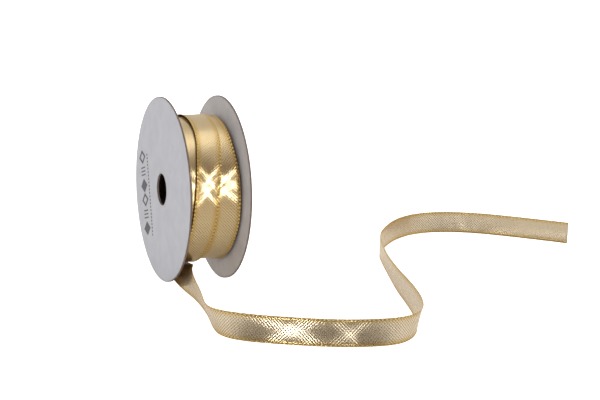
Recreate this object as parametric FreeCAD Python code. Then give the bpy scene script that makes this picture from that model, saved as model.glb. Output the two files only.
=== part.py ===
# Ribbon spool: two lined card discs on a wide paper core, wound with a narrow
# woven ribbon whose free end leaves the underside of the winding, twists a
# quarter turn and lies on its edge in an S beside the spool.
# Millimetres. +X is the spool's axis, +Z is up, and the origin is on the
# supporting surface under the middle of the spool.
import FreeCAD, Part
import math
import os

V = FreeCAD.Vector

# ---- driving dimensions -------------------------------------------------
FLANGE_D = 75.0          # diameter of both card discs
OVERALL_W = 25.3         # outside to outside along the axis
BOARD_T = 0.60           # grey-brown board in the middle of each disc
LINER_T = 0.08           # pale paper on each side of it
LINER_INSET = 0.25       # the paper stops this far short of the board's edge
HUB_R = 6.5              # spindle hole through both discs
CORE_OR = 26.0           # paper core: outside radius
CORE_T = 1.2             # paper core: wall
TAPE_T = 0.10            # tape that holds the ribbon's inner end
TAPE_W = 12.0
TAPE_DEG = 34.0
WIND_R = 29.9            # radius of the winding under the outermost lap
WIND_X0 = -11.6          # winding, towards the printed disc
WIND_X1 = 11.2           # winding, towards the plain disc
RIBBON_W = 10.0
RIBBON_T = 0.30
LAP_GAP = 0.05           # the outermost lap stands this far off the winding

# outermost lap: (angle round the axis from the front, up positive, in
# degrees; position of its middle along X)
LAP = [(-87.0, -6.6), (-65.0, -5.9), (-45.0, -4.9), (-21.0, -4.0),
       (0.0, -3.4), (30.0, -1.5), (50.0, 0.3), (65.0, 0.9), (88.0, 0.9),
       (120.0, 0.2), (150.0, -1.4), (180.0, -3.3), (210.0, -5.0),
       (232.0, -6.1), (246.0, -6.6)]

# free end of the ribbon: the points its middle line runs past, and how far
# its width is turned from level towards upright there, in degrees
TAIL = [
    (-6.7, 11.82, 9.01, 0), (-6.7, 4.03, 6.93, 0), (-6.6, -4.6, 6.6, 4),
    (-6.7, -12.6, 5.3, 42), (-8.0, -22.6, 5.0, 78), (-10.1, -37.0, 5.2, 99),
    (-13.1, -57.1, 5.0, 107), (-17.2, -74.5, 4.8, 110),
    (-16.5, -84.6, 5.2, 94), (-9.6, -92.5, 5.2, 76), (2.5, -100.1, 5.2, 73),
    (17.1, -107.4, 5.1, 73), (31.7, -111.9, 5.2, 75),
    (44.3, -111.5, 5.1, 90), (54.2, -103.5, 5.1, 103),
    (61.5, -88.4, 5.1, 100), (67.4, -68.4, 5.1, 95), (72.7, -46.1, 5.1, 89),
    (79.0, -24.3, 5.1, 83), (85.7, -4.2, 5.2, 86), (92.1, 13.3, 5.2, 91),
    (101.9, 27.4, 5.2, 90), (113.6, 40.3, 5.2, 88), (127.5, 48.6, 5.2, 88),
    (144.1, 48.7, 5.2, 88), (164.1, 36.8, 5.2, 88), (188.1, 11.2, 5.2, 88)]

# ---- derived ------------------------------------------------------------
R = FLANGE_D / 2.0
HALF = OVERALL_W / 2.0
AX = V(1, 0, 0)


def ring(r_out, r_in, x0, x1):
    """Ring about the spool's axis, from x0 to x1."""
    a = Part.makeCylinder(r_out, x1 - x0, V(x0, 0, R), AX)
    b = Part.makeCylinder(r_in, x1 - x0 + 2.0, V(x0 - 1.0, 0, R), AX)
    return a.cut(b)


def band(r_in, r_out, x0, x1, deg0, deg1):
    """Part of a ring between two angles from the front, up positive."""
    a = math.radians(deg0)
    pts = []
    for x, r in ((x0, r_in), (x1, r_in), (x1, r_out), (x0, r_out)):
        pts.append(V(x, -r * math.cos(a), R + r * math.sin(a)))
    face = Part.Face(Part.makePolygon(pts + [pts[0]]))
    return face.revolve(V(0, 0, R), AX, -(deg1 - deg0))


def strip(stations, width, thick):
    """Closed strip through (point, width direction, thickness direction)."""
    wires = []
    for p, w, n in stations:
        a = w * (width / 2.0)
        b = n * (thick / 2.0)
        c = [p + a + b, p - a + b, p - a - b, p + a - b]
        wires.append(Part.makePolygon(c + [c[0]]))
    s = Part.makeLoft(wires, True, True)
    if s.Volume < 0:
        s.reverse()
    return s


def lerp_table(table, x):
    for (x0, y0), (x1, y1) in zip(table, table[1:]):
        if x <= x1:
            u = (x - x0) / (x1 - x0)
            u = u * u * (3.0 - 2.0 * u) * 0.35 + u * 0.65
            return y0 + (y1 - y0) * u
    return table[-1][1]


os.makedirs("parts", exist_ok=True)
made = {}

# ---- the two discs: board with a paper on each side ---------------------
for side, name in ((-1, "front"), (1, "rear")):
    outer = side * HALF
    a = outer - side * LINER_T
    b = a - side * BOARD_T
    c = b - side * LINER_T
    made[name + "_outer_paper"] = ring(R - LINER_INSET, HUB_R,
                                       min(outer, a), max(outer, a))
    made[name + "_board"] = ring(R, HUB_R, min(a, b), max(a, b))
    made[name + "_inner_paper"] = ring(R - LINER_INSET, HUB_R,
                                       min(b, c), max(b, c))
inner = HALF - 2.0 * LINER_T - BOARD_T

# ---- core between the discs, and the tape at the ribbon's inner end ------
made["winding_core"] = ring(CORE_OR, CORE_OR - CORE_T, -inner, inner)
tape = band(CORE_OR, CORE_OR + TAPE_T, -TAPE_W / 2.0 + 1.0,
            TAPE_W / 2.0 + 1.0, 60.0, 60.0 + TAPE_DEG)
made["start_tape"] = tape

# ---- winding: all the turns but the last, as one ring --------------------
made["wound_ribbon"] = ring(WIND_R, CORE_OR, WIND_X0, WIND_X1).cut(tape)

# ---- the outermost lap, slanting across the winding ----------------------
rl = WIND_R + LAP_GAP + 0.03 + RIBBON_T / 2.0
lap = []
steps = 74
for i in range(steps + 1):
    deg = LAP[0][0] + (LAP[-1][0] - LAP[0][0]) * i / steps
    a = math.radians(deg)
    out = V(0, -math.cos(a), math.sin(a))
    lap.append((V(lerp_table(LAP, deg), 0, R) + out * rl, V(1, 0, 0), out))
made["outer_lap"] = strip(lap, RIBBON_W, RIBBON_T)

# ---- free end: straight runs joined by tangent arcs ----------------------
pts = [V(*p[:3]) for p in TAIL]
edges = []
marks = [0.0]            # distance along the path at each point of the route
radii = []
last = pts[0]
length = 0.0
for i in range(1, len(pts) - 1):
    d0 = (pts[i] - pts[i - 1])
    d1 = (pts[i + 1] - pts[i])
    l0, l1 = d0.Length, d1.Length
    d0.normalize()
    d1.normalize()
    half = d0.getAngle(d1) / 2.0
    back = 0.45 * min(l0, l1)
    rad = back / math.tan(half)
    radii.append(rad)
    p0 = pts[i] - d0 * back
    p1 = pts[i] + d1 * back
    to_centre = (d1 - d0)
    to_centre.normalize()
    mid = pts[i] + to_centre * (rad / math.cos(half) - rad)
    line = Part.LineSegment(last, p0).toShape()
    arc = Part.Arc(p0, mid, p1).toShape()
    edges += [line, arc]
    marks.append(length + line.Length + arc.Length / 2.0)
    length += line.Length + arc.Length
    last = p1
line = Part.LineSegment(last, pts[-1]).toShape()
edges.append(line)
length += line.Length
marks.append(length)
path = Part.Wire(edges)
turn = list(zip(marks, [float(p[3]) for p in TAIL]))


def turned(s):
    for (s0, a0), (s1, a1) in zip(turn, turn[1:]):
        if s <= s1 + 1e-9:
            return math.radians(a0 + (a1 - a0) * (s - s0) / (s1 - s0))
    return math.radians(turn[-1][1])


def station(edge, u, s):
    p = edge.valueAt(u)
    t = edge.tangentAt(u)
    h = V(-t.y, t.x, 0)
    h.normalize()
    v = h.cross(t) * -1.0
    if v.z < 0:
        v = v * -1.0
    a = turned(s)
    w = h * math.cos(a) + v * math.sin(a)
    n = t.cross(w)
    n.normalize()
    return (p, w, n)


stations = []
s = 0.0
for e in edges:
    n = 1
    if e.Curve.TypeId == "Part::GeomCircle":
        n = max(2, int(math.ceil(math.degrees(e.Length / e.Curve.Radius) / 5.0)))
    n = max(n, int(math.ceil(e.Length / 6.0)))
    first = 0 if not stations else 1
    for k in range(first, n + 1):
        u = e.FirstParameter + (e.LastParameter - e.FirstParameter) * k / n
        stations.append(station(e, u, s + e.Length * k / n))
    s += e.Length
tail = strip(stations, RIBBON_W, RIBBON_T)
made["ribbon_tail"] = tail

# ---- write --------------------------------------------------------------
for name, shape in made.items():
    shape.exportStep("parts/" + name + ".step")
    bb = shape.BoundBox
    print("%-20s valid %s solids %d faces %d volume %.1f  X %.2f..%.2f Y %.2f..%.2f Z %.2f..%.2f"
          % (name, shape.isValid(), len(shape.Solids), len(shape.Faces),
             shape.Volume, bb.XMin, bb.XMax, bb.YMin, bb.YMax, bb.ZMin, bb.ZMax))
print("tail: path %.1f mm, wire %.1f mm, section x length %.1f, volume %.1f, stations %d"
      % (length, path.Length, RIBBON_W * RIBBON_T * length, tail.Volume, len(stations)))
print("tail radii:", ", ".join("%.0f" % r for r in radii))
spool = [v for k, v in made.items() if k != "ribbon_tail"]
print("tail to spool: %.3f mm" % min(tail.distToShape(q)[0] for q in spool))
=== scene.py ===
# Looks of the ribbon spool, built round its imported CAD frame.
import math

import bpy
import numpy as np
from mathutils import Matrix, Vector


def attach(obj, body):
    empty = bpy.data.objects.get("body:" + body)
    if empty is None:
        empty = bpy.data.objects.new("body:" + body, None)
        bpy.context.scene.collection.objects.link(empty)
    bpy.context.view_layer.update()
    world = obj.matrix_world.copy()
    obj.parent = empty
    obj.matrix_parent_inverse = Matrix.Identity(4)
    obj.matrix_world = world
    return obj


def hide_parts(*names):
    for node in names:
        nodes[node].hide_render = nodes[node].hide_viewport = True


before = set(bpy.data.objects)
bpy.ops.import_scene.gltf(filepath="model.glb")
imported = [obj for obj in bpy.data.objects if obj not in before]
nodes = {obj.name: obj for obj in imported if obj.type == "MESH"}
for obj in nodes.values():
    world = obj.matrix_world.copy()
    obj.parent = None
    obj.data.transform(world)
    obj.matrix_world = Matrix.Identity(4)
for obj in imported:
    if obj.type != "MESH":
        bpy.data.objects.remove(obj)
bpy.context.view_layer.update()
scene = bpy.context.scene
MM = 0.001
AXIS_Z = 37.5            # the spool's axis, mm above the floor

# ---- camera -------------------------------------------------------------
cam_data = bpy.data.cameras.new("camera")
cam_data.sensor_width = 36.0
cam_data.lens = 91.249
cam_data.clip_start = 0.02
cam_data.clip_end = 60.0
cam = bpy.data.objects.new("camera", cam_data)
scene.collection.objects.link(cam)
right = Vector((0.9256409, -0.3772603, 0.0293880))
up = Vector((0.0486528, 0.1956723, 0.9794617))
back = Vector((-0.3752624, -0.9052000, 0.1994770))
m = Matrix.Identity(4)
for i, col in enumerate((right, up, back)):
    for k in range(3):
        m[k][i] = col[k]
m[0][3], m[1][3], m[2][3] = -0.192139, -0.579565, 0.157828
cam.matrix_world = m
scene.camera = cam
scene.view_settings.view_transform = "Standard"

# ---- the free end's route: x, y, z in metres, turn of the width in degrees
TAIL = [
    (-0.0067, 0.01182, 0.00901, 0), (-0.0067, 0.00403, 0.00693, 0),
    (-0.0066, -0.0046, 0.0066, 4), (-0.0067, -0.0126, 0.0053, 42),
    (-0.0080, -0.0226, 0.0050, 78), (-0.0101, -0.0370, 0.0052, 99),
    (-0.0131, -0.0571, 0.0050, 107), (-0.0172, -0.0745, 0.0048, 110),
    (-0.0165, -0.0846, 0.0052, 94), (-0.0096, -0.0925, 0.0052, 76),
    (0.0025, -0.1001, 0.0052, 73), (0.0171, -0.1074, 0.0051, 73),
    (0.0317, -0.1119, 0.0052, 75), (0.0443, -0.1115, 0.0051, 90),
    (0.0542, -0.1035, 0.0051, 103), (0.0615, -0.0884, 0.0051, 100),
    (0.0674, -0.0684, 0.0051, 95), (0.0727, -0.0461, 0.0051, 89),
    (0.0790, -0.0243, 0.0051, 83), (0.0857, -0.0042, 0.0052, 86),
    (0.0921, 0.0133, 0.0052, 91), (0.1019, 0.0274, 0.0052, 90),
    (0.1136, 0.0403, 0.0052, 88), (0.1275, 0.0486, 0.0052, 88),
    (0.1441, 0.0487, 0.0052, 88), (0.1641, 0.0368, 0.0052, 88),
    (0.1881, 0.0112, 0.0052, 88)]


def spline_points(points, resolution):
    """Points along a NURBS spline with these control points."""
    cu = bpy.data.curves.new("route", "CURVE")
    cu.dimensions = "3D"
    sp = cu.splines.new("NURBS")
    sp.points.add(len(points) - 1)
    for p, c in zip(sp.points, points):
        p.co = (c[0], c[1], c[2], 1.0)
    sp.order_u = 3
    sp.use_endpoint_u = True
    cu.resolution_u = resolution
    sp.resolution_u = resolution
    ob = bpy.data.objects.new("route", cu)
    scene.collection.objects.link(ob)
    me = bpy.data.meshes.new_from_object(ob)
    out = [v.co.copy() for v in me.vertices]
    bpy.data.meshes.remove(me)
    bpy.data.objects.remove(ob)
    bpy.data.curves.remove(cu)
    return out


# ---- woven strip: thin body, a beaded cord along each edge ----------------
FULL_TOP = [-5.0, -4.95, -4.82, -4.62, -4.44, -4.32, -4.2, -3.9, -3.2, -2.2,
            -1.1, 0.0, 1.1, 2.2, 3.2, 3.9, 4.2, 4.32, 4.44, 4.62, 4.82, 4.95, 5.0]
PLAIN_TOP = [-5.0, -4.8, -4.5, -4.25, -2.2, 0.0, 2.2, 4.25, 4.5, 4.8, 5.0]


def bead(u, side):
    """0 to 1 along the edge cord: the loops of the weft round its edge."""
    wave = np.cos(2 * np.pi * (u / 1.62 + 0.10 * np.sin(u / 7.3 + side)
                               + 0.21 * side))
    size = 0.72 + 0.28 * np.sin(u * 0.61 + 2.0 * side) * np.sin(u * 0.173 - side)
    return (0.5 + 0.5 * wave) * size


def make_strip(name, centre, width, normal, u, bow, top_cord=0.13,
               top_bead=0.09, under_cord=0.12, body=0.09, full=True,
               parts=None, tilt=0.0):
    """Closed strip. centre, width and normal are n x 3 arrays (mm and unit
    vectors), u is the distance along it, bow the rise of its middle and tilt
    the fall of one edge (the far one if it is positive)."""
    tops = FULL_TOP if full else PLAIN_TOP
    k = len(tops)
    ring = [(v, 1) for v in tops] + [(v, -1) for v in reversed(tops[1:-1])]
    n = len(u)
    rows = []
    for v, side in ring:
        s = 1 if v >= 0 else -1
        b = bead(u, s)
        edge = abs(v) > 4.4
        if side > 0:
            hc = top_cord + top_bead * b
        else:
            hc = under_cord + 0.0 * b
        if edge:
            x = max(0.0, 1.0 - ((abs(v) - 4.64) / 0.36) ** 2)
            h = hc * math.sqrt(x)
        elif abs(v) > 4.25:
            h = np.full(n, body * 0.70)
        else:
            h = np.full(n, body)
        vv = np.full(n, float(v))
        if edge:
            vv = s * (4.64 + (abs(v) - 4.64) * (1.0 - 0.30 * (1 - b)
                                                * (abs(v) > 4.64)))
        h = side * h + bow * (1.0 - (vv / 5.0) ** 2)
        h = h - np.abs(tilt) * (1.0 + np.sign(tilt) * vv / 5.0) / 2.0
        rows.append(centre + width * vv[:, None] + normal * h[:, None])
    co = np.stack(rows, axis=1).reshape(-1, 3) * MM      # station, ring
    r = len(ring)
    base = (np.arange(n - 1) * r)[:, None]
    j = np.arange(r)[None, :]
    j2 = (np.arange(r)[None, :] + 1) % r
    quads = np.stack([base + j, base + r + j, base + r + j2, base + j2],
                     axis=2).reshape(-1, 4)
    faces = [tuple(int(x) for x in q) for q in quads]
    faces.append(tuple(range(r)))
    faces.append(tuple(reversed(range((n - 1) * r, n * r))))
    vs = np.array([v for v, _ in ring])
    # across coordinate of each quad's two ring ends, mirrored underneath
    uvs = []
    sign = np.array([1.0 if q < k - 1 else -1.0 for q in range(r)])
    va = sign * vs
    vb = sign * np.roll(vs, -1)
    uu = np.asarray(u)
    quv = np.zeros((n - 1, r, 4, 2))
    quv[:, :, 0, 0] = uu[:-1, None]
    quv[:, :, 1, 0] = uu[1:, None]
    quv[:, :, 2, 0] = uu[1:, None]
    quv[:, :, 3, 0] = uu[:-1, None]
    quv[:, :, 0, 1] = va[None, :]
    quv[:, :, 1, 1] = va[None, :]
    quv[:, :, 2, 1] = vb[None, :]
    quv[:, :, 3, 1] = vb[None, :]
    flat = quv.reshape(-1, 2)
    caps = np.concatenate([np.stack([np.full(r, uu[0]), vs], axis=1),
                           np.stack([np.full(r, uu[-1]), vs[::-1]], axis=1)])
    flat = np.concatenate([flat, caps]) / 10.0
    piece = (co, faces, flat)
    if parts is not None:
        parts.append(piece)
        return None
    return join_pieces(name, [piece])


def join_pieces(name, pieces):
    cos, faces, uvs, at = [], [], [], 0
    for co, fs, uv in pieces:
        cos.append(co)
        faces += [tuple(i + at for i in f) for f in fs]
        uvs.append(uv)
        at += len(co)
    co = np.concatenate(cos)
    me = bpy.data.meshes.new(name)
    me.from_pydata([tuple(p) for p in co.tolist()], [], faces)
    layer = me.uv_layers.new(name="ribbon")
    layer.data.foreach_set("uv", np.concatenate(uvs).astype(np.float32).ravel())
    me.polygons.foreach_set("use_smooth", [True] * len(me.polygons))
    me.update()
    ob = bpy.data.objects.new(name, me)
    scene.collection.objects.link(ob)
    return ob


# ---- free end -------------------------------------------------------------
RES = 60
line = spline_points([p[:3] for p in TAIL], RES)
turns = spline_points([(p[3] / 100.0, 0.0, 0.0) for p in TAIL], RES)
pos = np.array([tuple(p) for p in line]) / MM
tan = np.gradient(pos, axis=0)
tan /= np.linalg.norm(tan, axis=1)[:, None]
phi = np.radians(np.array([p[0] for p in turns]) * 100.0)
hor = np.stack([-tan[:, 1], tan[:, 0], np.zeros(len(tan))], axis=1)
hor /= np.linalg.norm(hor, axis=1)[:, None]
ver = -np.cross(hor, tan)
ver *= np.where(ver[:, 2:3] < 0, -1.0, 1.0)
wid = hor * np.cos(phi)[:, None] + ver * np.sin(phi)[:, None]
nor = np.cross(tan, wid)
nor /= np.linalg.norm(nor, axis=1)[:, None]
dist = np.concatenate([[0.0], np.cumsum(np.linalg.norm(np.diff(pos, axis=0), axis=1))])
TAIL_LENGTH = float(dist[-1])
bow_tail = -0.20 * np.clip((dist - 12.0) / 25.0, 0.0, 1.0) * (1.0 + 0.25 * np.sin(dist / 31.0))
bow_tail -= 0.13 * np.exp(-((dist - 130.0) / 32.0) ** 2)
tail = make_strip("free_end", pos, wid, nor, dist, bow_tail,
                  top_cord=0.13, top_bead=0.07, under_cord=0.16, body=0.09)
lift = min(v.co.z for v in tail.data.vertices)
print("tail length mm", round(TAIL_LENGTH, 1), "lowest mm", round(lift / MM, 3))
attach(tail, "laid_end")
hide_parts("ribbon_tail")

# ---- outermost lap --------------------------------------------------------
LAP = [(-87.0, -6.6), (-65.0, -5.9), (-45.0, -4.9), (-21.0, -4.0),
       (0.0, -3.4), (30.0, -1.5), (50.0, 0.3), (65.0, 0.9), (88.0, 0.9),
       (120.0, 0.2), (150.0, -1.4), (180.0, -3.3), (210.0, -5.0),
       (232.0, -6.1), (246.0, -6.6)]


def smooth_table(table, x, width=9.0):
    """Value of the table at x, with its corners softened."""
    xs = np.array([p[0] for p in table])
    ys = np.array([p[1] for p in table])
    offsets = np.linspace(-width, width, 13)
    weights = 1.0 - (offsets / (width * 1.1)) ** 2
    total = sum(w * np.interp(x + o, xs, ys) for o, w in zip(offsets, weights))
    return total / weights.sum()


def wound(deg, r, x_mid, u0=0.0):
    """Stations of a lap: angle from the front (up positive), radius, X."""
    a = np.radians(deg)
    p = np.stack([x_mid, -r * np.cos(a), AXIS_Z + r * np.sin(a)], axis=1)
    t = np.gradient(p, axis=0)
    t /= np.linalg.norm(t, axis=1)[:, None]
    out = np.stack([np.zeros(len(a)), -np.cos(a), np.sin(a)], axis=1)
    w = np.cross(out, t)
    w /= np.linalg.norm(w, axis=1)[:, None]
    n = np.cross(t, w)
    u = u0 + np.concatenate([[0.0], np.cumsum(np.linalg.norm(np.diff(p, axis=0), axis=1))])
    return p, w, n, u


deg = np.linspace(-87.0, 246.0, 660)
r_lap = 29.98 + 0.23 * (deg + 87.0) / 333.0
x_lap = smooth_table(LAP, deg)
bow_lap = np.interp(deg, [-87, -60, -20, 10, 40, 60, 90, 200, 246],
                    [-0.05, -0.25, -0.54, -0.62, -0.52, -0.34, -0.25, -0.20, -0.05])
p, w, n, u = wound(deg, r_lap, x_lap, 4600.0)
lap = make_strip("outer_lap_strip", p, w, n, u, bow_lap,
                 top_cord=0.13, top_bead=0.07, under_cord=0.10, body=0.085)
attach(lap, "spool")
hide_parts("outer_lap")

# ---- the winding: two lanes of spiral turns --------------------------------
PITCH = 0.27
R_IN = 26.24
SAG = 0.36
parts = []
RIGHT = [(-93, 4.5), (-87, 4.55), (-65, 4.64), (-55, 4.97), (-43, 5.41),
         (-33, 5.54), (-23, 5.88), (-13, 6.0), (12, 5.73), (20, 5.62),
         (28, 5.43), (40, 5.08), (52, 4.5), (61, 4.35), (72, 4.4), (88, 4.6),
         (120, 5.0), (180, 5.6), (230, 5.2), (273, 4.5), (290, 4.5)]


def lane(total, x_base, table, seed, lean):
    """One lane: inner turns plain, the last turn in full detail."""
    end = -87.0
    start = end - 360.0 * total
    split = end - 366.0
    for full, d0, d1, step in ((False, start, split, 4.0), (True, split, end, 0.5)):
        d = np.arange(d0, d1 + step * 0.5, step)
        turn = (d - start) / 360.0
        r = R_IN + PITCH * turn
        if full:
            x = smooth_table(table, (d - end) + 273.0, 5.0) if table else np.full(len(d), x_base)
            blend_in = np.clip((d - split) / 30.0, 0, 1)
            jit = x_base + 0.22 * np.sin(turn * 2.3 + seed) if table else x_base + 0.05 * np.sin(turn * 2.3 + seed)
            x = jit * (1 - blend_in) + x * blend_in
        elif table:
            x = x_base + 0.22 * np.sin(turn * 2.3 + seed)
        else:
            x = x_base + 0.05 * np.sin(turn * 2.3 + seed)
        bow = -SAG * turn / total
        c, ww, nn, uu = wound(d, r, x, 300.0 * seed)
        make_strip("lane", c, ww, nn, uu, bow,
                   top_cord=0.12 if full else 0.105,
                   top_bead=0.08 if full else 0.0, under_cord=0.11,
                   body=0.08, full=full, parts=parts,
                   tilt=lean * turn / total)


lane(13.0, -6.55, None, 1.0, -0.55)
lane(13.0, 5.2, RIGHT, 2.0, 0.55)
winding = join_pieces("wound_ribbon_turns", parts)
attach(winding, "spool")
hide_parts("wound_ribbon")


# ---- materials -------------------------------------------------------------
def srgb(r, g, b):
    def lin(c):
        c /= 255.0
        return c / 12.92 if c <= 0.04045 else ((c + 0.055) / 1.055) ** 2.4
    return (lin(r), lin(g), lin(b), 1.0)


class Nodes:
    """Short calls for building a node tree."""

    def __init__(self, tree):
        self.t = tree
        self.t.nodes.clear()

    def new(self, kind, **inputs):
        nd = self.t.nodes.new(kind)
        for key, val in inputs.items():
            self.put(nd.inputs[key.replace("_", " ")], val)
        return nd

    def put(self, socket, val):
        if isinstance(val, bpy.types.NodeSocket):
            self.t.links.new(val, socket)
        else:
            socket.default_value = val

    def math(self, op, a, b=None, c=None, clamp=False):
        nd = self.t.nodes.new("ShaderNodeMath")
        nd.operation = op
        nd.use_clamp = clamp
        for i, val in enumerate((a, b, c)):
            if val is not None:
                self.put(nd.inputs[i], val)
        return nd.outputs[0]

    def step(self, x, lo, hi, to0=0.0, to1=1.0):
        nd = self.t.nodes.new("ShaderNodeMapRange")
        nd.interpolation_type = "SMOOTHSTEP"
        self.put(nd.inputs["Value"], x)
        nd.inputs["From Min"].default_value = lo
        nd.inputs["From Max"].default_value = hi
        nd.inputs["To Min"].default_value = to0
        nd.inputs["To Max"].default_value = to1
        return nd.outputs["Result"]

    def mix(self, fac, a, b, kind="MIX"):
        nd = self.t.nodes.new("ShaderNodeMix")
        nd.data_type = "RGBA"
        nd.blend_type = kind
        self.put(nd.inputs[0], fac)
        self.put(nd.inputs[6], a)
        self.put(nd.inputs[7], b)
        return nd.outputs[2]

    def noise(self, vector, scale, detail=3.0, rough=0.5):
        nd = self.t.nodes.new("ShaderNodeTexNoise")
        self.put(nd.inputs["Vector"], vector)
        nd.inputs["Scale"].default_value = scale
        nd.inputs["Detail"].default_value = detail
        nd.inputs["Roughness"].default_value = rough
        return nd.outputs["Fac"]


def new_material(name, colour):
    mat = bpy.data.materials.new(name)
    mat.use_nodes = True
    mat.diffuse_color = colour
    return mat, Nodes(mat.node_tree)


WEAVE = 1.25             # mm along the ribbon from one diagonal to the next


def gold_material(name, tones):
    """Two families of fine diagonal ribs of metallised thread over a matt
    ground, with a cord of looped yarn along each edge."""
    mat, g = new_material(name, srgb(214, 190, 142))
    uv = g.new("ShaderNodeUVMap")
    uv.uv_map = "ribbon"
    sep = g.new("ShaderNodeSeparateXYZ", Vector=uv.outputs[0])
    u = g.math("MULTIPLY", sep.outputs[0], 10.0)
    v = g.math("MULTIPLY", sep.outputs[1], 10.0)
    av = g.math("ABSOLUTE", v)
    flow = g.noise(uv.outputs[0], 0.9, 2.0)
    wob = g.math("MULTIPLY", g.math("SUBTRACT", flow, 0.5), 0.30)
    pats = []
    for sgn in (1.0, -1.0):
        s = g.math("ADD", g.math("ADD", u, g.math("MULTIPLY", v, sgn)), wob)
        c = g.math("COSINE", g.math("MULTIPLY", s, 2 * math.pi / WEAVE))
        pats.append(g.math("MULTIPLY_ADD", c, 0.5, 0.5))
    cord = g.step(av, 4.24, 4.36)
    edge_zone = g.step(av, 2.5, 4.3)
    shade = g.noise(uv.outputs[0], 2.2, 4.0)
    fine = g.noise(uv.outputs[0], 26.0, 2.0)
    body = g.mix(edge_zone, tones["rib"], tones["rib_edge"])
    body = g.mix(g.step(shade, 0.35, 0.7, 0.0, 0.14), body, srgb(196, 164, 116))
    ground = g.mix(edge_zone, tones["ground"], tones["ground_edge"])
    ground = g.mix(g.step(fine, 0.4, 0.7, 0.0, 0.25), ground, srgb(140, 104, 60))
    # edge cord: loops of yarn, painted brighter on top as a painted glint; the brown between them is partly the
    # yarn's own colour and partly painted shade
    side = g.math("SIGN", v)
    ph = g.math("MULTIPLY_ADD", g.math("SINE", g.math("ADD", g.math("DIVIDE", u, 7.3), side)), 0.10,
                g.math("MULTIPLY_ADD", side, 0.21, g.math("DIVIDE", u, 1.62)))
    loop = g.math("MULTIPLY_ADD", g.math("COSINE", g.math("MULTIPLY", ph, 2 * math.pi)), 0.5, 0.5)
    ply = g.math("MULTIPLY_ADD", g.math("COSINE", g.math(
        "MULTIPLY", g.math("MULTIPLY_ADD", v, 0.6, u), 2 * math.pi / 0.54)), 0.5, 0.5)
    twist = g.math("MULTIPLY_ADD", ply, 0.4, g.math("MULTIPLY", loop, 0.6))
    # cord colour: painted shade between the loops, painted glint on their tops
    cord_glint_shade_col = g.mix(g.step(twist, 0.10, 0.60), tones["cord_shaded_low"], tones["cord_glint_high"])
    # painted shade: a dark brown line in the hollow between each edge cord and the body
    groove_shade = g.math("MULTIPLY", g.step(av, 4.12, 4.26), g.step(av, 4.44, 4.32))
    tang = g.new("ShaderNodeTangent")
    tang.direction_type = "UV_MAP"
    tang.uv_map = "ribbon"
    # the cord's ground also runs from the painted shade tone up to a painted glint over the loops
    ground = g.mix(cord, ground, g.mix(g.step(twist, 0.2, 0.7), tones["cord_shaded_low"], srgb(200, 162, 96)))
    ground = g.mix(g.math("MULTIPLY", groove_shade, 0.45), ground, srgb(104, 70, 30))
    on_body = g.math("SUBTRACT", 1.0, cord)
    loops = g.math("MULTIPLY", g.math("MULTIPLY", twist, cord), 1.6)
    ribs, metals, bumps = [], [], []
    for pat, rot in ((pats[0], 0.125), (pats[1], 0.875)):
        rib = g.step(pat, 0.48, 0.72)
        ribs.append(g.math("MAXIMUM", g.math("MULTIPLY", rib, on_body),
                           g.math("MULTIPLY", g.step(twist, 0.35, 0.7), g.math("MULTIPLY", cord, 0.8))))
        height = g.math("MULTIPLY_ADD", pat, on_body, loops)
        bump = g.new("ShaderNodeBump", Strength=0.5, Distance=0.00005, Height=height)
        col = g.mix(cord, body, cord_glint_shade_col)
        aniso = g.math("MULTIPLY_ADD", cord, -0.8, 0.99)
        rough = g.math("MULTIPLY_ADD", g.math("SUBTRACT", fine, 0.5), 0.05, 0.255)
        metals.append(g.new("ShaderNodeBsdfPrincipled", Base_Color=col, Metallic=1.0,
                            Roughness=rough, Anisotropic=aniso,
                            Anisotropic_Rotation=rot, Tangent=tang.outputs[0],
                            Normal=bump.outputs[0]).outputs[0])
    every = g.math("MAXIMUM", ribs[0], ribs[1])
    weave = g.new("ShaderNodeBump", Strength=0.5, Distance=0.00005,
                  Height=g.math("MULTIPLY_ADD", every, on_body, loops))
    fibre = g.new("ShaderNodeBsdfPrincipled", Base_Color=ground, Roughness=0.66,
                  Metallic=0.85, Specular_IOR_Level=0.35, Normal=weave.outputs[0])
    # where two ribs cross, each shows half
    share = g.math("DIVIDE", ribs[1], g.math("ADD", g.math("ADD", ribs[0], ribs[1]), 0.001))
    pair = g.new("ShaderNodeMixShader")
    g.put(pair.inputs[0], share)
    g.put(pair.inputs[1], metals[0])
    g.put(pair.inputs[2], metals[1])
    both = g.new("ShaderNodeMixShader")
    g.put(both.inputs[0], every)
    g.put(both.inputs[1], fibre.outputs[0])
    g.put(both.inputs[2], pair.outputs[0])
    g.new("ShaderNodeOutputMaterial", Surface=both.outputs[0])
    return mat


def position(g):
    """Object coordinates and the distance from the spool's axis, in mm."""
    tc = g.new("ShaderNodeTexCoord")
    sep = g.new("ShaderNodeSeparateXYZ", Vector=tc.outputs["Object"])
    y = g.math("MULTIPLY", sep.outputs[1], 1000.0)
    z = g.math("MULTIPLY_ADD", sep.outputs[2], 1000.0, -AXIS_Z)
    r = g.math("SQRT", g.math("ADD", g.math("MULTIPLY", y, y), g.math("MULTIPLY", z, z)))
    return tc.outputs["Object"], r, sep


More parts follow.
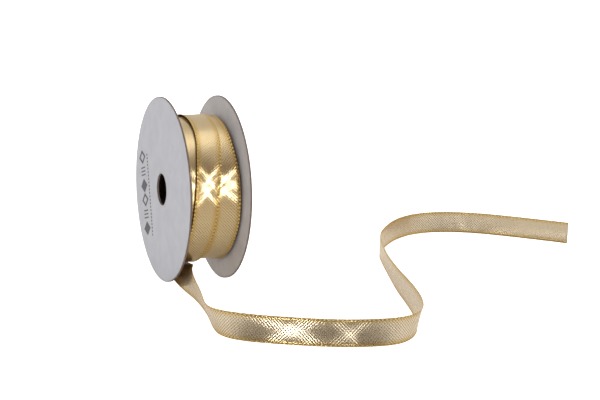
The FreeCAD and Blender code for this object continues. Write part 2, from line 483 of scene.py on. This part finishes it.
def paper_material(name, base, dark, rough):
    mat, g = new_material(name, base)
    obj, r, sep = position(g)
    cloud = g.noise(obj, 160.0, 5.0, 0.55)
    fine = g.noise(obj, 2600.0, 3.0, 0.6)
    fac = g.math("MULTIPLY_ADD", cloud, 0.7, g.math("MULTIPLY", fine, 0.3))
    col = g.mix(g.step(fac, 0.36, 0.66), dark, base)
    # rubbed and slightly soiled towards the rim and the spindle hole
    rub = g.math("MAXIMUM", g.step(r, 36.2, 37.2), g.step(r, 8.2, 6.6))
    rub = g.math("MULTIPLY", rub, g.step(g.noise(obj, 420.0, 4.0), 0.42, 0.62, 0.15, 0.75))
    col = g.mix(rub, col, srgb(176, 166, 158))
    bump = g.new("ShaderNodeBump", Strength=0.18, Distance=0.00003, Height=fac)
    g.new("ShaderNodeOutputMaterial", Surface=g.new(
        "ShaderNodeBsdfPrincipled", Base_Color=col, Roughness=rough,
        Specular_IOR_Level=0.42, Normal=bump.outputs[0]).outputs[0])
    return mat


def board_material():
    mat, g = new_material("grey_board_edge", srgb(150, 132, 122))
    obj, r, sep = position(g)
    stretch = g.new("ShaderNodeMapping", Vector=obj)
    stretch.inputs["Scale"].default_value = (14000.0, 420.0, 420.0)
    plies = g.noise(stretch.outputs[0], 1.0, 2.0)
    specks = g.noise(obj, 3400.0, 3.0)
    col = g.mix(g.step(plies, 0.35, 0.65), srgb(104, 88, 82), srgb(146, 130, 120))
    col = g.mix(g.step(specks, 0.58, 0.70, 0.0, 0.5), col, srgb(92, 72, 66))
    bump = g.new("ShaderNodeBump", Strength=0.5, Distance=0.00005, Height=plies)
    g.new("ShaderNodeOutputMaterial", Surface=g.new(
        "ShaderNodeBsdfPrincipled", Base_Color=col, Roughness=0.85,
        Normal=bump.outputs[0]).outputs[0])
    return mat


def core_material():
    mat, g = new_material("core_paper_kraft", srgb(98, 78, 58))
    obj, r, sep = position(g)
    cloud = g.noise(obj, 500.0, 5.0)
    # the tube's paper is wound on a slant: faint spiral seams
    ang = g.math("ARCTAN2", g.math("MULTIPLY_ADD", sep.outputs[2], 1.0, -0.0375), sep.outputs[1])
    turn = g.math("MULTIPLY_ADD", sep.outputs[0], 230.0, ang)
    seam = g.step(g.math("COSINE", turn), 0.985, 1.0)
    col = g.mix(g.step(cloud, 0.35, 0.65), srgb(78, 60, 44), srgb(112, 90, 68))
    col = g.mix(g.math("MULTIPLY", seam, 0.6), col, srgb(52, 40, 30))
    bump = g.new("ShaderNodeBump", Strength=0.3, Distance=0.00006, Height=cloud)
    g.new("ShaderNodeOutputMaterial", Surface=g.new(
        "ShaderNodeBsdfPrincipled", Base_Color=col, Roughness=0.9,
        Normal=bump.outputs[0]).outputs[0])
    return mat


def tape_material():
    mat, g = new_material("tape_cream", srgb(220, 208, 176))
    obj, r, sep = position(g)
    crepe = g.new("ShaderNodeMapping", Vector=obj)
    crepe.inputs["Scale"].default_value = (900.0, 5200.0, 5200.0)
    lines = g.noise(crepe.outputs[0], 1.0, 3.0)
    col = g.mix(g.step(lines, 0.35, 0.65), srgb(204, 190, 152), srgb(230, 220, 190))
    bump = g.new("ShaderNodeBump", Strength=0.3, Distance=0.00004, Height=lines)
    g.new("ShaderNodeOutputMaterial", Surface=g.new(
        "ShaderNodeBsdfPrincipled", Base_Color=col, Roughness=0.5,
        Normal=bump.outputs[0]).outputs[0])
    return mat


def ink_material():
    mat, g = new_material("print_ink", srgb(84, 80, 86))
    obj, r, sep = position(g)
    cover = g.noise(obj, 2200.0, 3.0)
    col = g.mix(g.step(cover, 0.35, 0.6), srgb(96, 92, 98), srgb(70, 66, 73))
    g.new("ShaderNodeOutputMaterial", Surface=g.new(
        "ShaderNodeBsdfPrincipled", Base_Color=col, Roughness=0.5).outputs[0])
    return mat


def dress(ob, mat):
    ob.data.materials.clear()
    ob.data.materials.append(mat)


# one ribbon in two tones, a lit copy and a shaded copy: the loose end is painted paler as painted light,
# and the wound turns are painted darker and a deeper gold as painted shade
loose_lit_paler = gold_material("gold_ribbon_weave_lit_paler", {
    "rib": srgb(250, 234, 206), "rib_edge": srgb(238, 210, 150),
    "ground": srgb(204, 176, 130), "ground_edge": srgb(200, 166, 102),
    "cord_shaded_low": srgb(190, 150, 88), "cord_glint_high": srgb(246, 220, 156)})
# painted shade: the wound copy's ribs, ground and cord are darker and deeper than the loose copy's
packed_shaded_darker = gold_material("gold_ribbon_wound_shaded_darker", {
    "rib": srgb(224, 204, 161), "rib_edge": srgb(216, 184, 116),
    "ground": srgb(158, 118, 62), "ground_edge": srgb(156, 114, 50),
    "cord_shaded_low": srgb(146, 104, 46), "cord_glint_high": srgb(252, 222, 146)})
dress(tail, loose_lit_paler)
for ob in (lap, winding):
    dress(ob, packed_shaded_darker)
printed = paper_material("printed_paper_coated", srgb(198, 197, 202), srgb(190, 189, 194), 0.42)
# painted light: the liner paper has a paler, cooler base than the printed paper, lifting the shaded inner faces
# and cancelling the warm bounce on them
plain = paper_material("plain_paper_liner_lifted", srgb(211, 208, 209), srgb(201, 197, 198), 0.6)
board = board_material()
for side in ("front", "rear"):
    dress(nodes[side + "_outer_paper"], printed)
    dress(nodes[side + "_inner_paper"], plain)
    dress(nodes[side + "_board"], board)
dress(nodes["winding_core"], core_material())
dress(nodes["start_tape"], tape_material())

# ---- generic printed marks on the outer face of the front disc -------------
FACE_X = -12.65
INK = 0.02


def outline_to_prism(shapes):
    """Closed thin prisms from (outer outline, inner outline or None), each a
    list of (y, z) in mm, standing on the disc's outer face."""
    co, faces, uvs = [], [], []
    for outer, inner in shapes:
        n = len(outer)
        at = len(co)
        if inner is None:
            for x in (FACE_X, FACE_X - INK):
                co += [(x, y, z) for y, z in outer]
            faces.append(tuple(at + n + i for i in range(n)))
            faces.append(tuple(at + i for i in reversed(range(n))))
            for i in range(n):
                k = (i + 1) % n
                faces.append((at + i, at + k, at + n + k, at + n + i))
        else:
            for x in (FACE_X, FACE_X - INK):
                co += [(x, y, z) for y, z in outer]
                co += [(x, y, z) for y, z in inner]
            for i in range(n):
                k = (i + 1) % n
                o0, o1, i0, i1 = at + i, at + k, at + n + i, at + n + k
                top = 2 * n
                faces.append((o0 + top, o1 + top, i1 + top, i0 + top))
                faces.append((o0, i0, i1, o1))
                faces.append((o0, o1, o1 + top, o0 + top))
                faces.append((i0, i0 + top, i1 + top, i1))
    return co, faces


def ellipse(y, z, ry, rz, n=36):
    return [(y + ry * math.cos(2 * math.pi * i / n), z + rz * math.sin(2 * math.pi * i / n)) for i in range(n)]


def diamond(y, z, ry, rz, n=5):
    corners = [(y + ry, z), (y, z + rz), (y - ry, z), (y, z - rz)]
    out = []
    for a, b in zip(corners, corners[1:] + corners[:1]):
        for k in range(n):
            out.append((a[0] + (b[0] - a[0]) * k / n, a[1] + (b[1] - a[1]) * k / n))
    return out


def bar(y0, y1, z0, z1):
    return [(y0, z0), (y1, z0), (y1, z1), (y0, z1)]


marks = []
# a column of diamonds and bars, and a line of dashes, both leaning
column = [("open", 46.6), ("bars", 40.6), ("solid", 34.6), ("open", 28.6),
          ("bars", 22.6), ("solid", 16.6)]
MID_Y, MID_Z = 23.4, 31.0
for kind, z in column:
    y = MID_Y
    if kind == "open":
        marks.append((diamond(y, z, 4.6, 3.0), diamond(y, z, 2.6, 1.7)))
    elif kind == "solid":
        marks.append((diamond(y, z, 4.6, 3.0), None))
    else:
        for dz in (-1.5, 0.0, 1.5):
            marks.append((bar(y - 2.9, y + 2.9, z + dz - 0.28, z + dz + 0.28), None))
z = 46.8
while z > 12.0:
    y = MID_Y - 7.0
    marks.append((bar(y - 0.6, y + 0.6, z - 0.42, z + 0.42), None))
    z -= 1.45


def lean(outline, deg=16.5):
    c, q = math.cos(math.radians(deg)), math.sin(math.radians(deg))
    return [(MID_Y + (y - MID_Y) * c + (z - MID_Z) * q,
             MID_Z - (y - MID_Y) * q + (z - MID_Z) * c) for y, z in outline]


marks = [(lean(a), lean(b) if b else None) for a, b in marks]
co, faces = outline_to_prism(marks)
me = bpy.data.meshes.new("printed_marks")
me.from_pydata([(x * MM, y * MM, z * MM) for x, y, z in co], [], faces)
me.update()
import bmesh
bm = bmesh.new()
bm.from_mesh(me)
bmesh.ops.recalc_face_normals(bm, faces=bm.faces)
bm.to_mesh(me)
bm.free()
ink = bpy.data.objects.new("printed_marks", me)
scene.collection.objects.link(ink)
dress(ink, ink_material())
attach(ink, "spool")

# ---- floor, world and lights -------------------------------------------------
me = bpy.data.meshes.new("floor")
S = 14.0
FLOOR_GLOW = 0.8        # for the camera only, so the sheet is pure white
FLOOR_LIGHT = 0.27       # the sheet is lit from below as well
me.from_pydata([(-S, -S, 0), (S, -S, 0), (S, S, 0), (-S, S, 0)], [], [(0, 1, 2, 3)])
floor = bpy.data.objects.new("floor", me)
scene.collection.objects.link(floor)
fmat, g = new_material("floor_white", (0.9, 0.9, 0.9, 1.0))
lit = g.new("ShaderNodeBsdfDiffuse", Color=(0.80, 0.80, 0.80, 1.0))
glow = g.new("ShaderNodeEmission", Color=(1.0, 1.0, 1.0, 1.0))
seen = g.new("ShaderNodeLightPath")
g.put(glow.inputs["Strength"], g.math("MULTIPLY_ADD", seen.outputs["Is Camera Ray"], FLOOR_GLOW, FLOOR_LIGHT))
total = g.new("ShaderNodeAddShader")
g.put(total.inputs[0], lit.outputs[0])
g.put(total.inputs[1], glow.outputs[0])
g.new("ShaderNodeOutputMaterial", Surface=total.outputs[0])
dress(floor, fmat)

world = bpy.data.worlds.new("studio")
scene.world = world
world.use_nodes = True
w = Nodes(world.node_tree)
tc = w.new("ShaderNodeTexCoord")
sep = w.new("ShaderNodeSeparateXYZ", Vector=tc.outputs["Generated"])
ramp = w.new("ShaderNodeValToRGB", Fac=w.math("MULTIPLY_ADD", sep.outputs[2], 0.5, 0.5))
cr = ramp.color_ramp
cr.elements[0].position = 0.0
cr.elements[0].color = (0.5, 0.5, 0.5, 1)
cr.elements[1].position = 1.0
cr.elements[1].color = (0.9, 0.9, 0.91, 1)
for at, val in ((0.50, 0.15), (0.53, 0.06), (0.66, 0.05), (0.82, 0.15), (0.90, 0.6), (0.96, 0.85)):
    e = cr.elements.new(at)
    e.color = (val, val, val * 1.01, 1)
lp = w.new("ShaderNodeLightPath")
# a pale backdrop behind, a lit wall on the right, a darker room in front
behind = w.step(sep.outputs[1], 0.15, 0.6)
aside = w.step(sep.outputs[0], 0.35, 0.85)
room = w.mix(aside, ramp.outputs[0], (0.6, 0.6, 0.605, 1.0))
dim = w.new("ShaderNodeBackground", Color=w.mix(behind, room, (0.92, 0.92, 0.93, 1.0)))
dim.inputs["Strength"].default_value = 1.0
bright = w.new("ShaderNodeBackground")
bright.inputs["Color"].default_value = (1, 1, 1, 1)
bright.inputs["Strength"].default_value = 1.05
pick = w.new("ShaderNodeMixShader")
w.put(pick.inputs[0], lp.outputs["Is Camera Ray"])
w.put(pick.inputs[1], dim.outputs[0])
w.put(pick.inputs[2], bright.outputs[0])
w.new("ShaderNodeOutputWorld", Surface=pick.outputs[0])


def softbox(name, azimuth, elevation, distance, size, radiance,
            target=(0.0, -0.03, 0.03), spread=180.0, only=None):
    """Area light. Azimuth 0 is on the -Y side and 90 on the +X side."""
    a, e = math.radians(azimuth), math.radians(elevation)
    away = Vector((math.sin(a) * math.cos(e), -math.cos(a) * math.cos(e), math.sin(e)))
    d = bpy.data.lights.new(name, "AREA")
    d.shape = "RECTANGLE"
    d.size, d.size_y = size
    d.energy = radiance * math.pi * size[0] * size[1]
    d.spread = math.radians(spread)
    d.color = (1.0, 0.995, 0.98)
    ob = bpy.data.objects.new(name, d)
    ob.location = Vector(target) + away * distance
    ob.rotation_mode = "QUATERNION"
    ob.rotation_quaternion = away.to_track_quat("Z", "Y")
    ob.visible_camera = False
    scene.collection.objects.link(ob)
    if only:
        group = bpy.data.collections.new(name + "_on")
        for piece in only:
            group.objects.link(piece)
        ob.light_linking.receiver_collection = group
    return ob


papers = [nodes[side + part] for side in ("front", "rear")
          for part in ("_outer_paper", "_inner_paper", "_board")] + [ink]
softbox("overhead_right", 95, 68, 1.2, (0.6, 0.6), 1.5)
softbox("left_fill", -95, 22, 1.3, (0.9, 0.9), 0.6)
softbox("paper_fill", -32, 18, 1.2, (0.5, 0.5), 6.0, only=papers)
softbox("tail_fill", 75, 48, 0.8, (0.5, 0.5), 2.3, target=(0.10, 0.0, 0.005), only=(tail,))
for name, lift in (("pack_key_1", 11.0), ("pack_key_2", 6.5), ("pack_key_3", -6.5), ("pack_key_4", -11.0)):
    softbox(name, 19.4, 12.5 + lift, 0.50, (0.038, 0.030), 88.0,
            target=(-0.0028, -0.0292, 0.0445), only=(lap, winding))
for name, shift in (("run_key_left", -1.9), ("run_key_right", 1.9)):
    softbox(name, -36.2 + shift, 17, 0.25, (0.012, 0.014), 52.0,
            target=(0.0110, -0.1040, 0.005), only=(tail,))
softbox("run_key_low", -13.5, 17, 0.25, (0.022, 0.014), 20.0, target=(0.0335, -0.1120, 0.005), only=(tail,))
